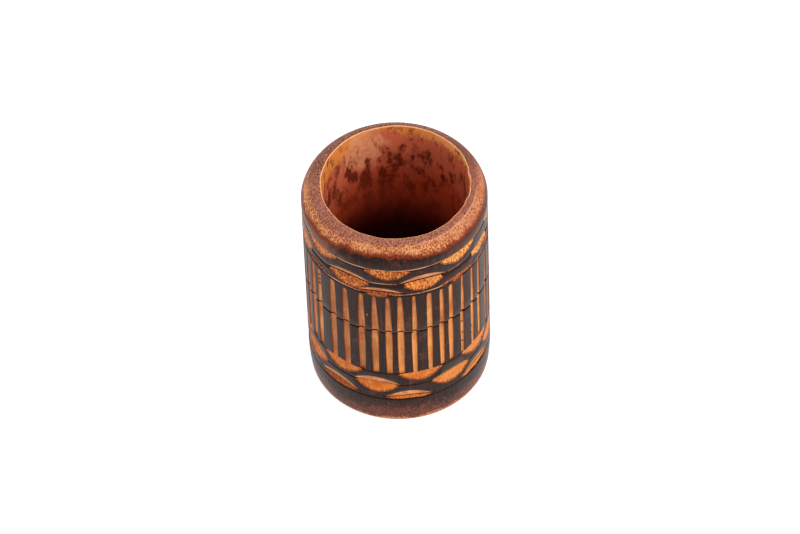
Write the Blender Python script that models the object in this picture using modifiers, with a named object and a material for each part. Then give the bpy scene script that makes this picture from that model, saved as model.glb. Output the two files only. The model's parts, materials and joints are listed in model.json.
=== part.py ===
"""A carved bamboo dice cup: a tube cut from a bamboo stem, a disc glued in its foot and a leather
floor on the disc.

Metres, +Z up. The origin is the centre of the foot, on the table, and the front of the cup faces -Y.
Angles go round the cup in degrees from the front, growing towards +X.
"""

import math

import bmesh
import bpy
from mathutils import Matrix

MM = 0.001

# The tube: a length of stem, a little wider at the foot, with a hollow that isn't quite central
HEIGHT = 107.4 * MM
NECK_RADIUS = 37.5 * MM
NECK_HEIGHT = 100.5 * MM
BELLY_RADIUS = 38.6 * MM
BELLY_HEIGHT = 11.0 * MM
FOOT_RADIUS = 38.1 * MM
FOOT_ROUNDING = 1.0 * MM
BORE_RADIUS = 29.7 * MM
BORE_CENTRE_X = 0.7 * MM

# The rim: a narrow flat ring at the mouth, then a slope that rolls over into the side
RIM_FLAT_RADIUS = 31.3 * MM
RIM_SHOULDER = (36.3 * MM, 105.2 * MM)

# The bottom: a disc glued in a rebate, set back from the table, and the leather on it inside the cup
REBATE_RADIUS = 33.5 * MM
REBATE_DEPTH = 6.8 * MM
DISC_SETBACK = 0.5 * MM
DISC_CHAMFER = 0.5 * MM
LEATHER_THICKNESS = 2.0 * MM
LEATHER_ROUNDING = 0.6 * MM
GLUE_GAP = 0.3 * MM

# Scribed rings: height, depth and half of the width at the skin
SCRIBED_RINGS = (
    (96.2 * MM, 0.50 * MM, 0.40 * MM),
    (88.6 * MM, 0.50 * MM, 0.40 * MM),
    (81.6 * MM, 0.60 * MM, 0.45 * MM),
    (58.0 * MM, 1.30 * MM, 0.45 * MM),
    (31.7 * MM, 0.60 * MM, 0.45 * MM),
    (24.4 * MM, 0.50 * MM, 0.40 * MM),
    (14.8 * MM, 0.60 * MM, 0.45 * MM),
)

# Leaves: chips taken out with two flat cuts that meet in a level line. Each row has the height of
# that line, where the upper and the lower cut leave the skin, and where its front leaves stand.
LEAF_SPAN = 30.0
LEAVES_IN_ROW = 8
LEAF_ROWS = (
    (96.2 * MM, 97.0 * MM, 91.5 * MM, (-54.0, -6.5, 41.0)),
    (88.6 * MM, 93.0 * MM, 84.0 * MM, (-32.0, 16.5, 65.0)),
    (82.8 * MM, 86.0 * MM, 81.0 * MM, (-57.0, -12.0, 40.5)),
    (31.7 * MM, 32.5 * MM, 26.5 * MM, (-39.0, 12.5, 56.0)),
    (24.4 * MM, 28.8 * MM, 19.3 * MM, (-66.0, -16.0, 33.5, 78.0)),
    (16.4 * MM, 21.0 * MM, 14.9 * MM, (-42.5, 5.0, 55.5)),
)

# Bars: upright strokes of a gouge between the two bands of leaves
BARS_TOP = 80.4 * MM
BARS_BOTTOM = 32.6 * MM
BAR_WIDTH = 3.0 * MM
BAR_DEPTH = 1.0 * MM
BAR_TAPER = 3.0 * MM
BAR_COUNT = 40
FRONT_BARS = (
    -72.5, -64.3, -57.0, -44.0, -34.3, -23.4, -15.0, -6.4, 0.9,
    9.3, 19.4, 27.0, 34.0, 43.2, 52.3, 60.5, 71.5,
)

ROUND_STEPS = 72
RIM_STEPS = 6
FOOT_STEPS = 3
GOUGE_SIDES = 8
SHARP_ANGLE = 30.0
CUTTER_OVERHANG = 2.0 * MM


def clear_scene():
    for obj in list(bpy.data.objects):
        bpy.data.objects.remove(obj, do_unlink=True)


def new_collection(name):
    collection = bpy.data.collections.new(name)
    bpy.context.scene.collection.children.link(collection)
    return collection


def new_material(name, colour, roughness):
    material = bpy.data.materials.new(name)
    material.use_nodes = True
    shader = material.node_tree.nodes["Principled BSDF"]
    shader.inputs["Base Color"].default_value = (*colour, 1.0)
    shader.inputs["Roughness"].default_value = roughness
    shader.inputs["Metallic"].default_value = 0.0
    material.diffuse_color = (*colour, 1.0)
    return material


def new_object(name, shape, material, collection):
    """Puts a bmesh in a new object and frees it."""
    mesh = bpy.data.meshes.new(name)
    shape.to_mesh(mesh)
    shape.free()
    mesh.materials.append(material)
    obj = bpy.data.objects.new(name, mesh)
    collection.objects.link(obj)
    return obj


def hide_cutter(obj):
    obj.hide_render = True
    obj.display_type = "WIRE"


def finish_round(obj):
    """Makes the modifiers' result the object's own mesh, smooth all over except at its real edges."""
    graph = bpy.context.evaluated_depsgraph_get()
    mesh = bpy.data.meshes.new_from_object(obj.evaluated_get(graph))
    obj.modifiers.clear()
    obj.data = mesh
    mesh.name = obj.name
    mesh.shade_smooth()
    mesh.set_sharp_from_angle(angle=math.radians(SHARP_ANGLE))


def turned(name, outline, material, collection):
    """A solid of revolution. The outline is (radius, height) points from the axis at the top to the
    axis at the bottom, so it runs down the outside."""
    shape = bmesh.new()
    points = [shape.verts.new((radius, 0.0, height)) for radius, height in outline]
    for upper, lower in zip(points, points[1:]):
        shape.edges.new((upper, lower))
    obj = new_object(name, shape, material, collection)
    screw = obj.modifiers.new("Turn", "SCREW")
    screw.steps = ROUND_STEPS
    screw.render_steps = ROUND_STEPS
    screw.use_merge_vertices = True
    screw.merge_threshold = 0.00001
    return obj


def cut(obj, cutter):
    """Takes the cutter away from the object. The cut faces take the cutter's material."""
    boolean = obj.modifiers.new("Cut " + cutter.name, "BOOLEAN")
    boolean.operation = "DIFFERENCE"
    boolean.solver = "EXACT"
    boolean.material_mode = "TRANSFER"
    boolean.object = cutter
    hide_cutter(cutter)


def skin_radius(height):
    """The outside radius on the straight stretch between the belly and the neck."""
    up = (height - BELLY_HEIGHT) / (NECK_HEIGHT - BELLY_HEIGHT)
    return BELLY_RADIUS + (NECK_RADIUS - BELLY_RADIUS) * up


def rim_curve():
    """From the flat ring over the shoulder to the neck, as a curve drawn towards the shoulder point."""
    start = (RIM_FLAT_RADIUS, HEIGHT)
    end = (NECK_RADIUS, NECK_HEIGHT)
    points = []
    for step in range(RIM_STEPS + 1):
        t = step / RIM_STEPS
        weights = ((1 - t) ** 2, 2 * t * (1 - t), t**2)
        points.append(tuple(
            weights[0] * a + weights[1] * b + weights[2] * c
            for a, b, c in zip(start, RIM_SHOULDER, end)
        ))
    return points


def scribed_notch(height, depth, half_width):
    """The three points of a V-shaped ring in the skin, from its upper edge to its lower edge."""
    return [
        (skin_radius(height + half_width), height + half_width),
        (skin_radius(height) - depth, height),
        (skin_radius(height - half_width), height - half_width),
    ]


def foot_curve():
    """A quarter round from the side of the foot to the face that stands on the table."""
    centre = FOOT_RADIUS - FOOT_ROUNDING
    points = []
    for step in range(FOOT_STEPS + 1):
        turn = math.radians(90.0 * step / FOOT_STEPS)
        points.append((
            centre + FOOT_ROUNDING * math.cos(turn),
            FOOT_ROUNDING - FOOT_ROUNDING * math.sin(turn),
        ))
    return points


def place_on_cup(angle, radius, height, lean=0.0):
    """A place on the cup whose local +X points straight out and whose +Z leans in by the lean."""
    return (
        Matrix.Rotation(math.radians(angle - 90.0), 4, "Z")
        @ Matrix.Translation((radius, 0.0, height))
        @ Matrix.Rotation(-lean, 4, "Y")
    )


def spread_round(front, count):
    """The front angles as they stand, and the rest of the count spread evenly over the back."""
    gap = (front[0] + 360.0 - front[-1]) / (count - len(front) + 1)
    back = [front[-1] + gap * step for step in range(1, count - len(front) + 1)]
    return list(front) + back


def add_wedge(shape, outline, length, place):
    """A prism over a triangle in the local XZ plane, as long in local Y as the length says."""
    corners = [shape.verts.new((x, -length / 2, z)) for x, z in outline]
    side = shape.faces.new(corners)
    grown = bmesh.ops.extrude_face_region(shape, geom=[side])["geom"]
    far = [item for item in grown if isinstance(item, bmesh.types.BMVert)]
    bmesh.ops.translate(shape, verts=far, vec=(0.0, length, 0.0))
    bmesh.ops.transform(shape, matrix=place, verts=corners + far)


def make_leaf_cutter(flesh, collection):
    """Every leaf of every row, one wedge each."""
    shape = bmesh.new()
    for line, top, bottom, front in LEAF_ROWS:
        radius = skin_radius(line)
        depth = radius * (1 - math.cos(math.radians(LEAF_SPAN / 2)))
        reach = (depth + CUTTER_OVERHANG) / depth
        wedge = (
            (-depth, 0.0),
            (CUTTER_OVERHANG, (bottom - line) * reach),
            (CUTTER_OVERHANG, (top - line) * reach),
        )
        length = 2 * radius * math.sin(math.radians(LEAF_SPAN / 2)) + 2 * CUTTER_OVERHANG
        for angle in spread_round(front, LEAVES_IN_ROW):
            add_wedge(shape, wedge, length, place_on_cup(angle, radius, line))
    bmesh.ops.recalc_face_normals(shape, faces=shape.faces[:])
    return new_object("leaf_cutter", shape, flesh, collection)


def add_gouge_stroke(shape, place, length):
    """A half-round stroke: it runs full depth from the bottom and runs out at the top."""
    body = length - BAR_TAPER
    made = bmesh.ops.create_cone(
        shape, cap_ends=True, segments=GOUGE_SIDES, radius1=0.5, radius2=0.5, depth=body
    )
    verts = made["verts"]
    bmesh.ops.rotate(
        shape, verts=verts, cent=(0, 0, 0), matrix=Matrix.Rotation(math.pi / GOUGE_SIDES, 3, "Z")
    )
    bmesh.ops.scale(shape, verts=verts, vec=(2 * BAR_DEPTH, BAR_WIDTH, 1.0))
    bmesh.ops.translate(shape, verts=verts, vec=(0.0, 0.0, body / 2))
    faces = {face for vert in verts for face in vert.link_faces}
    top = max(faces, key=lambda face: face.calc_center_median().z)
    grown = bmesh.ops.extrude_face_region(shape, geom=[top])["geom"]
    bmesh.ops.delete(shape, geom=[top], context="FACES_ONLY")
    tip = [item for item in grown if isinstance(item, bmesh.types.BMVert)]
    bmesh.ops.scale(shape, verts=tip, vec=(0.4, 0.5, 1.0))
    bmesh.ops.translate(shape, verts=tip, vec=(0.0, 0.0, BAR_TAPER))
    bmesh.ops.transform(shape, matrix=place, verts=verts + tip)


def make_bar_cutter(flesh, collection):
    """Every upright bar, one stroke each, leaning in with the side of the cup."""
    shape = bmesh.new()
    lean = math.atan2(BELLY_RADIUS - NECK_RADIUS, NECK_HEIGHT - BELLY_HEIGHT)
    for angle in spread_round(FRONT_BARS, BAR_COUNT):
        place = place_on_cup(angle, skin_radius(BARS_BOTTOM), BARS_BOTTOM, lean)
        add_gouge_stroke(shape, place, BARS_TOP - BARS_BOTTOM)
    bmesh.ops.recalc_face_normals(shape, faces=shape.faces[:])
    return new_object("bar_cutter", shape, flesh, collection)


def make_bore_cutter(flesh, collection):
    """The hollow, with the wider rebate for the disc at its foot."""
    above = HEIGHT + CUTTER_OVERHANG
    below = -CUTTER_OVERHANG
    outline = [
        (0.0, above),
        (BORE_RADIUS, above),
        (BORE_RADIUS, REBATE_DEPTH),
        (REBATE_RADIUS, REBATE_DEPTH),
        (REBATE_RADIUS, below),
        (0.0, below),
    ]
    cutter = turned("bore_cutter", outline, flesh, collection)
    cutter.location.x = BORE_CENTRE_X
    cutter.rotation_euler.z = math.pi / ROUND_STEPS
    return cutter


def make_culm_wall(skin, flesh, parts, cutters):
    """The carved tube, open at both ends."""
    outline = [(0.0, HEIGHT)] + rim_curve()
    for ring in SCRIBED_RINGS:
        outline += scribed_notch(*ring)
    outline += [(BELLY_RADIUS, BELLY_HEIGHT)] + foot_curve() + [(0.0, 0.0)]
    wall = turned("culm_wall", outline, skin, parts)
    wall.data.materials.append(flesh)
    cut(wall, make_bore_cutter(flesh, cutters))
    cut(wall, make_leaf_cutter(flesh, cutters))
    cut(wall, make_bar_cutter(flesh, cutters))
    finish_round(wall)


def make_base_disc(wood, parts):
    """The bottom of the cup, with a small chamfer round its underside."""
    radius = REBATE_RADIUS - GLUE_GAP
    top = REBATE_DEPTH - GLUE_GAP
    outline = [
        (0.0, top),
        (radius, top),
        (radius, DISC_SETBACK + DISC_CHAMFER),
        (radius - DISC_CHAMFER, DISC_SETBACK),
        (0.0, DISC_SETBACK),
    ]
    disc = turned("base_disc", outline, wood, parts)
    disc.location.x = BORE_CENTRE_X
    finish_round(disc)


def make_leather_floor(leather, parts):
    """A disc of leather that fills the bore above the base disc, with a rounded upper edge."""
    radius = BORE_RADIUS - GLUE_GAP
    bottom = REBATE_DEPTH
    top = bottom + LEATHER_THICKNESS
    edge = LEATHER_ROUNDING * (1 - math.sqrt(0.5))
    outline = [
        (0.0, top),
        (radius - LEATHER_ROUNDING, top),
        (radius - edge, top - edge),
        (radius, top - LEATHER_ROUNDING),
        (radius, bottom),
        (0.0, bottom),
    ]
    floor = turned("leather_floor", outline, leather, parts)
    floor.location.x = BORE_CENTRE_X
    finish_round(floor)


def main():
    clear_scene()
    parts = new_collection("bamboo_dice_cup")
    cutters = new_collection("cutters")
    skin = new_material("blackened bamboo skin", (0.034, 0.027, 0.026), 0.42)
    flesh = new_material("carved bamboo", (0.65, 0.25, 0.08), 0.55)
    wood = new_material("glued bamboo board", (0.50, 0.27, 0.12), 0.60)
    leather = new_material("brown leather", (0.10, 0.035, 0.018), 0.75)
    make_culm_wall(skin, flesh, parts, cutters)
    make_base_disc(wood, parts)
    make_leather_floor(leather, parts)


main()
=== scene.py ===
import functools
import json
import math
import random

import bmesh
import bpy
from mathutils import Matrix, Vector

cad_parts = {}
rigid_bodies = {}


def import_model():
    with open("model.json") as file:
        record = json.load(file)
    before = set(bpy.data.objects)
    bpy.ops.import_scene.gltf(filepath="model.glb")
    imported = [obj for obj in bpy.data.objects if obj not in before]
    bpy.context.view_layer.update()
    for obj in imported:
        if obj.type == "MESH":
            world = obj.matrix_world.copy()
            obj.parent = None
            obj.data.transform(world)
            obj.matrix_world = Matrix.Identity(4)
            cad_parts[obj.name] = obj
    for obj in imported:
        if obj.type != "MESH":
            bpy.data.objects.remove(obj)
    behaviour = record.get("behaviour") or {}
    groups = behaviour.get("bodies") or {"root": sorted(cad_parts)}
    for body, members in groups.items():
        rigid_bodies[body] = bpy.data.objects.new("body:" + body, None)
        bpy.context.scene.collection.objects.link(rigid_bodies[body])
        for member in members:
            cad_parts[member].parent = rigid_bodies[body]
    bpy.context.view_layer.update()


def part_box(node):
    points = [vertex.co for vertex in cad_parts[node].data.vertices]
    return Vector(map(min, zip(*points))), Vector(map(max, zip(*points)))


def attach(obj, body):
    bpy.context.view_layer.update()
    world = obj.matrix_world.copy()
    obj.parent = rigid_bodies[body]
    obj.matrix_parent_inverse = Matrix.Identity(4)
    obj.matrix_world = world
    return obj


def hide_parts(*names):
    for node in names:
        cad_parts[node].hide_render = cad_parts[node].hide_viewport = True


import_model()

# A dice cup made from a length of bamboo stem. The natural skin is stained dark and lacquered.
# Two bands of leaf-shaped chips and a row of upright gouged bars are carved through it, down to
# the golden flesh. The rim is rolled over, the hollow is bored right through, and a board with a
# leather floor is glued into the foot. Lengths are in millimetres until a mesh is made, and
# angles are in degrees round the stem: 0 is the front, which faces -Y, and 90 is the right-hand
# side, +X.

MM = 0.001
HAND = random.Random(20)  # the unevenness of handwork, the same at every run

# The stem, as it was turned and bored.
HEIGHT = 107.4
FOOT_RADIUS, FOOT_FLAT_RADIUS = 38.1, 37.1
FOOT_ROUNDING = 1.0
BELLY_RADIUS, BELLY_HEIGHT = 38.6, 11.0
NECK_RADIUS, NECK_HEIGHT = 37.5, 100.5
RIM_PULL = (36.3, 105.2)  # the point that the rolled rim bends towards
RIM_FLAT_RADIUS = 31.3
BORE_RADIUS, BORE_CENTRE = 29.7, 0.7  # the centre is this far to the right
REBATE_RADIUS, REBATE_DEPTH = 33.5, 6.8
ARRIS_DROP = 0.24  # how far down the corner is taken off the edge of the hollow
MOUTH_DEEP, MOUTH_LEAN = 12.0, 0.6  # the hand-trimmed end of the hollow, which leans to the back
MID_LINE = 57.7  # the level line that divides the bars
ROUND_STEPS, LINE_STEPS = 288, 144  # sides of the stem, and of a level line's cutter

SKIN_TAPER = (BELLY_RADIUS - NECK_RADIUS) / (NECK_HEIGHT - BELLY_HEIGHT)


def clear_selection():
    if bpy.context.mode != "OBJECT":
        bpy.ops.object.mode_set(mode="OBJECT")
    bpy.ops.object.select_all(action="DESELECT")


def select_only(piece):
    clear_selection()
    piece.select_set(True)
    bpy.context.view_layer.objects.active = piece


def name_new(name):
    piece = bpy.context.object
    piece.name = name
    piece.data.name = name
    return piece


def pick(kind, test):
    """In edit mode, leaves selected only the vertices, edges or faces that pass the test."""
    bpy.ops.mesh.select_mode(type=kind)
    bpy.ops.mesh.select_all(action="DESELECT")
    shape = bmesh.from_edit_mesh(bpy.context.edit_object.data)
    for item in {"VERT": shape.verts, "EDGE": shape.edges, "FACE": shape.faces}[kind]:
        if test(item):
            item.select_set(True)
    shape.select_flush_mode()
    bmesh.update_edit_mesh(bpy.context.edit_object.data)


def finish_edit():
    """Points all the faces outwards, and leaves edit mode."""
    bpy.ops.mesh.select_all(action="SELECT")
    bpy.ops.mesh.normals_make_consistent(inside=False)
    bpy.ops.object.mode_set(mode="OBJECT")


def shade_smooth(piece, angle):
    """Shades a piece smoothly, but for edges sharper than the angle."""
    select_only(piece)
    bpy.ops.object.shade_smooth_by_angle(angle=math.radians(angle))


def place(piece, turn=(0, 0, 0), shift=(0, 0, 0)):
    """Turns a piece about the origin, moves it, and leaves the place in its mesh."""
    select_only(piece)
    piece.rotation_euler = [math.radians(angle) for angle in turn]
    piece.location = [length * MM for length in shift]
    bpy.ops.object.transform_apply(location=True, rotation=True, scale=True)


def copy_of(piece):
    twin = piece.copy()
    twin.data = piece.data.copy()
    bpy.context.scene.collection.objects.link(twin)
    return twin


def joined(pieces, name):
    clear_selection()
    for piece in pieces:
        piece.select_set(True)
    bpy.context.view_layer.objects.active = pieces[0]
    bpy.ops.object.join()
    return name_new(name)


def apply_modifier(piece, kind, **settings):
    bpy.context.view_layer.objects.active = piece
    modifier = piece.modifiers.new(kind.lower(), kind)
    for key, value in settings.items():
        setattr(modifier, key, value)
    bpy.ops.object.modifier_apply(modifier=modifier.name)


def cloud(name, size, depth=2):
    texture = bpy.data.textures.new(name, "CLOUDS")
    texture.noise_scale = size * MM
    texture.noise_depth = depth
    return texture


def roughen(piece, texture, strength, direction="NORMAL", group=""):
    apply_modifier(
        piece,
        "DISPLACE",
        texture=texture,
        strength=strength * MM,
        mid_level=0.5,
        direction=direction,
        vertex_group=group,
    )


def turned_ring(name, outline, steps=ROUND_STEPS):
    """A closed ring: a hoop, extruded and resized from point to point of a closed outline of
    (radius, height, centre across)."""
    clear_selection()
    radius, height, centre = outline[0]
    bpy.ops.mesh.primitive_circle_add(vertices=steps, radius=radius * MM, fill_type="NOTHING")
    ring = name_new(name)
    bpy.ops.object.mode_set(mode="EDIT")
    bpy.ops.mesh.select_all(action="SELECT")
    bpy.ops.transform.translate(value=(centre * MM, 0, height * MM))
    for start, end in zip(outline, outline[1:]):
        step = ((end[2] - start[2]) * MM, 0, (end[1] - start[1]) * MM)
        bpy.ops.mesh.extrude_region_move(TRANSFORM_OT_translate={"value": step})
        if end[0] != start[0]:
            grow = end[0] / start[0]
            middle = (end[2] * MM, 0, end[1] * MM)
            bpy.ops.transform.resize(value=(grow, grow, 1), center_override=middle)
    bpy.ops.mesh.select_all(action="SELECT")
    bpy.ops.mesh.remove_doubles(threshold=1e-6)
    finish_edit()
    return ring


# ---------------------------------------------------------------- finishes

def stain(hex_code):
    """A finish's colour, given in sRGB hex, as the linear colour that the shader works in."""
    parts = [int(hex_code[at : at + 2], 16) / 255 for at in (1, 3, 5)]
    linear = [p / 12.92 if p <= 0.04045 else ((p + 0.055) / 1.055) ** 2.4 for p in parts]
    return (*linear, 1.0)


def add(tree, kind, *inputs, named=None, out=0, stops=(), **settings):
    """Adds a shader node and gives back one of its outputs. A word after a colon in the kind is
    the node's operation. The inputs are values or other nodes' outputs, in the order of the
    sockets or by name, and a ramp's stops are (place, colour) pairs in order."""
    kind, _, operation = kind.partition(":")
    node = tree.nodes.new("ShaderNode" + kind)
    if operation:
        settings["interpolation_type" if kind == "MapRange" else "operation"] = operation
    for key, value in settings.items():
        setattr(node, key, value)
    for socket, value in [*enumerate(inputs), *(named or {}).items()]:
        if isinstance(value, bpy.types.NodeSocket):
            tree.links.new(value, node.inputs[socket])
        else:
            node.inputs[socket].default_value = value
    for at, colour in stops[2:]:
        node.color_ramp.elements.new(at)
    for number, (at, colour) in enumerate(stops):
        node.color_ramp.elements[number].position = at
        node.color_ramp.elements[number].color = stain(colour)
    return node.outputs[out] if len(node.outputs) else node


def new_finish(name):
    """A new material, and the function that adds nodes to it."""
    finish = bpy.data.materials.new(name)
    finish.use_nodes = True
    finish.node_tree.nodes.clear()
    return finish, functools.partial(add, finish.node_tree)


def blotches(node, point, size, stretch=1.0, detail=2.0, rough=0.5, shift=(0, 0, 0)):
    """Soft blotches of the given size in millimetres, drawn out by the stretch along the grain."""
    scale = (1 / size, 1 / size, 1 / (size * stretch))
    scaled = node("Mapping", point, named={"Location": shift, "Scale": scale})
    settings = {"Vector": scaled, "Scale": 1.0, "Detail": detail, "Roughness": rough}
    return node("TexNoise", named=settings)


def from_bundle(node, point, spacing, stretch):
    """Distance from the nearest fibre bundle, in spacings. The bundles run up the stem."""
    scale = (1 / spacing, 1 / spacing, 1 / (spacing * stretch))
    scaled = node("Mapping", point, named={"Scale": scale})
    return node("TexVoronoi", named={"Vector": scaled, "Scale": 1.0}, feature="F1")


def on_stem(node):
    """Where a point of the stem is: its place in millimetres, its height, its distance from the
    axis, its depth under the skin, and the sine and cosine of its angle round the stem."""
    point = node("VectorMath:SCALE", node("TexCoord", out="Object"), named={"Scale": 1 / MM})
    x, y, z = node("SeparateXYZ", point).node.outputs
    radius = node("VectorMath:LENGTH", node("CombineXYZ", x, y), out="Value")
    above = node("Math:SUBTRACT", z, BELLY_HEIGHT)
    skin = node("Math:MULTIPLY_ADD", above, -SKIN_TAPER, BELLY_RADIUS)
    return {
        "point": point,
        "z": z,
        "radius": radius,
        "depth": node("Math:SUBTRACT", skin, radius),
        "sine": node("Math:DIVIDE", x, radius),
        "cosine": node("Math:DIVIDE", node("Math:MULTIPLY", y, -1.0), radius),
    }


def patch(node, at, angle, height, width, tall, wobble=0.5, radius=38.0):
    """A worn or stained patch, 1 in its middle and 0 outside, as far from its middle as the width
    and the tall say. A wobble of blotches makes its edge uneven."""
    turn = math.radians(angle)
    middle = (math.sin(turn) * radius, -math.cos(turn) * radius, height)
    offset = node("VectorMath:SUBTRACT", at["point"], middle)
    offset = node("VectorMath:MULTIPLY", offset, (1 / width, 1 / width, 1 / tall))
    reach = node("VectorMath:LENGTH", offset, out="Value")
    uneven = node("Math:ADD", reach, node("Math:MULTIPLY_ADD", wobble, 1.6, -0.8))
    return node("MapRange:SMOOTHSTEP", uneven, 1.3, 0.7)


def wobbled(node, value, wobble, reach):
    """The value, moved up and down by blotches, by about a fifth of the reach each way."""
    return node("Math:ADD", value, node("Math:MULTIPLY_ADD", wobble, reach, -reach / 2))


def finish_with(node, colour, roughness, height, relief, specular):
    """Joins a colour, a roughness and a relief in millimetres to the shader and the output."""
    bump = node("Bump", named={"Height": height, "Distance": relief * MM, "Strength": 1.0})
    settings = {
        "Base Color": colour,
        "Roughness": roughness,
        "Normal": bump,
        "IOR": 1.5,
        "Specular IOR Level": specular,
    }
    node("OutputMaterial", node("BsdfPrincipled", named=settings))


def make_stained_skin():
    """Bamboo skin, stained nearly black and lacquered: dark, glossy, with fine upright lines. It
    is sanded through on the rolled rim, where the cut fibres show as dots, and rubbed at the
    foot."""
    finish, node = new_finish("stained_lacquered_bamboo_skin")
    at = on_stem(node)
    lines = blotches(node, at["point"], 0.45, stretch=40, detail=3)
    mottle = blotches(node, at["point"], 5.0, stretch=1.2, detail=4, rough=0.6)
    fine = blotches(node, at["point"], 1.1, detail=3, rough=0.65)
    grit = blotches(node, at["point"], 0.5, detail=2, rough=0.6)
    shades = [(0.3, "#180D09"), (0.55, "#2A1812"), (0.75, "#3E241A")]
    colour = node("ValToRGB", lines, stops=shades)

    # Hands have worn the stain thin in places, most of all under the rim on the left.
    thin = node("MapRange:SMOOTHSTEP", mottle, 0.56, 0.72, 0.0, 0.3)
    # The right is rubbed too, but less.
    held = node("Math:MULTIPLY", patch(node, at, -70, 99.5, 21, 5, mottle), 0.85)
    handled = node("Math:MULTIPLY", patch(node, at, 52, 99.5, 16, 5, mottle), 0.25)
    thin = node("Math:MAXIMUM", thin, node("Math:MAXIMUM", held, handled))
    colour = node("MixRGB", thin, colour, stain("#784430"))
    fleck = patch(node, at, -19.6, 68.3, 0.2, 0.9)
    colour = node("MixRGB", node("Math:MULTIPLY", fleck, 0.8), colour, stain("#B08C68"))

    # Standing has rubbed the foot red-brown, and its edge pale.
    low_at = wobbled(node, wobbled(node, at["z"], fine, 14.0), mottle, 16.0)
    front_rub = patch(node, at, 0, 9, 15, 8, fine)
    low_at = node("Math:MULTIPLY_ADD", front_rub, -3.0, low_at)
    foot_rub = node("MapRange:SMOOTHSTEP", low_at, 9.5, 3.5, 0.0, 0.85)
    rubbed = node("MapRange:SMOOTHSTEP", grit, 0.36, 0.64)
    rubbed_red = node("MixRGB", rubbed, stain("#3A150C"), stain("#84452F"))
    colour = node("MixRGB", foot_rub, colour, rubbed_red)
    edge_at = wobbled(node, wobbled(node, at["z"], fine, 3.0), mottle, 5.0)
    foot_edge = node("MapRange:SMOOTHSTEP", edge_at, 2.4, 1.4, 0.0, 0.9)
    kept_dark = node("MapRange:SMOOTHSTEP", at["sine"], -0.75, -0.3, 0.15, 1.0)
    foot_edge = node("Math:MULTIPLY", foot_edge, kept_dark)
    foot_edge = node("Math:MULTIPLY", foot_edge, node("MapRange:SMOOTHSTEP", grit, 0.36, 0.52))
    colour = node("MixRGB", foot_edge, colour, stain("#C67C4A"))

    # On the rim's shoulder the skin gives way to sanded end grain along a ragged edge, which is
    # higher just left of the front and calmer on the right.
    ragged = wobbled(node, at["z"], mottle, 2.4)
    tooth = node("MapRange:SMOOTHSTEP", at["sine"], 0.3, 0.8, 3.4, 1.4)
    ragged = node("Math:MULTIPLY_ADD", node("Math:SUBTRACT", fine, 0.5), tooth, ragged)
    facing = node("Math:MULTIPLY", at["cosine"], 0.976)
    facing = node("Math:MULTIPLY_ADD", at["sine"], -0.22, facing)
    high = node("MapRange:SMOOTHSTEP", facing, 0.84, 0.97, 0.0, 1.5)
    ragged = node("Math:SUBTRACT", ragged, high)
    shoulder = node("MapRange:SMOOTHSTEP", ragged, 101.4, 102.2)
    sanded = node("MapRange:SMOOTHSTEP", ragged, 102.4, 104.3)
    dark_red = node("MixRGB", grit, stain("#4E170A"), stain("#8A3414"))
    colour = node("MixRGB", shoulder, colour, dark_red)
    shades = [(0.35, "#A2562B"), (0.5, "#B6683C"), (0.62, "#C47C4E")]
    fresh = node("ValToRGB", mottle, stops=shades)
    right = node("MapRange:SMOOTHSTEP", at["sine"], 0.35, 0.85, 0.0, 0.45)
    fresh = node("MixRGB", right, fresh, stain("#B87252"))
    colour = node("MixRGB", sanded, colour, fresh)

    # The flat beside the hollow and the back of the rim took more stain, a mauve brown.
    flat_at = wobbled(node, wobbled(node, at["radius"], fine, 3.6), mottle, 2.4)
    leftward = node("MapRange:SMOOTHSTEP", at["sine"], -0.3, -0.8, 0.0, 1.1)
    backward = node("MapRange:SMOOTHSTEP", at["cosine"], 0.35, -0.25, 0.0, 1.5)
    flat_at = node("Math:SUBTRACT", flat_at, node("Math:MAXIMUM", leftward, backward))
    inner = node("MapRange:SMOOTHSTEP", flat_at, 34.0, 32.2)
    back = node("MapRange:SMOOTHSTEP", at["cosine"], 0.05, -0.45)
    mauve = node("Math:MULTIPLY", node("Math:MAXIMUM", inner, back), sanded)
    front_brown = node("MixRGB", mottle, stain("#7C4232"), stain("#965846"))
    brown = node("MixRGB", back, front_brown, stain("#5C2E20"))
    colour = node("MixRGB", node("Math:MULTIPLY", mauve, 0.88), colour, brown)

    # Bundles are 0.5 mm apart near the skin, drawn at 0.62 mm so that they show. The soft wood
    # between them is sanded brighter.
    cells = wobbled(node, from_bundle(node, at["point"], 0.62, 30), grit, 0.6)
    dots = node("MapRange:SMOOTHSTEP", cells, 0.42, 0.14)
    dots = node("Math:MULTIPLY", dots, node("MapRange:SMOOTHSTEP", ragged, 101.8, 103.4))
    colour = node("MixRGB", node("Math:MULTIPLY", dots, 0.74), colour, stain("#561E0C"))
    # The bundles beside the hollow are larger, about 1.2 mm apart, and dirt has filled some.
    pits = wobbled(node, from_bundle(node, at["point"], 1.2, 30), grit, 0.3)
    pits = node("MapRange:SMOOTHSTEP", pits, 0.3, 0.16)
    filled = node("MapRange:SMOOTHSTEP", mottle, 0.42, 0.54, 0.2, 0.85)
    pits = node("Math:MULTIPLY", node("Math:MULTIPLY", pits, filled), sanded)
    colour = node("MixRGB", pits, colour, stain("#421309"))
    soft = node("MapRange:SMOOTHSTEP", cells, 0.44, 0.72, 0.0, 0.55)
    plain = node("MapRange:SMOOTHSTEP", at["sine"], 0.45, 0.85, 1.0, 0.35)
    soft = node("Math:MULTIPLY", node("Math:MULTIPLY", soft, sanded), plain)
    soft_shade = node("MixRGB", mauve, stain("#E8A874"), stain("#B47C68"))
    colour = node("MixRGB", soft, colour, soft_shade)
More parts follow.
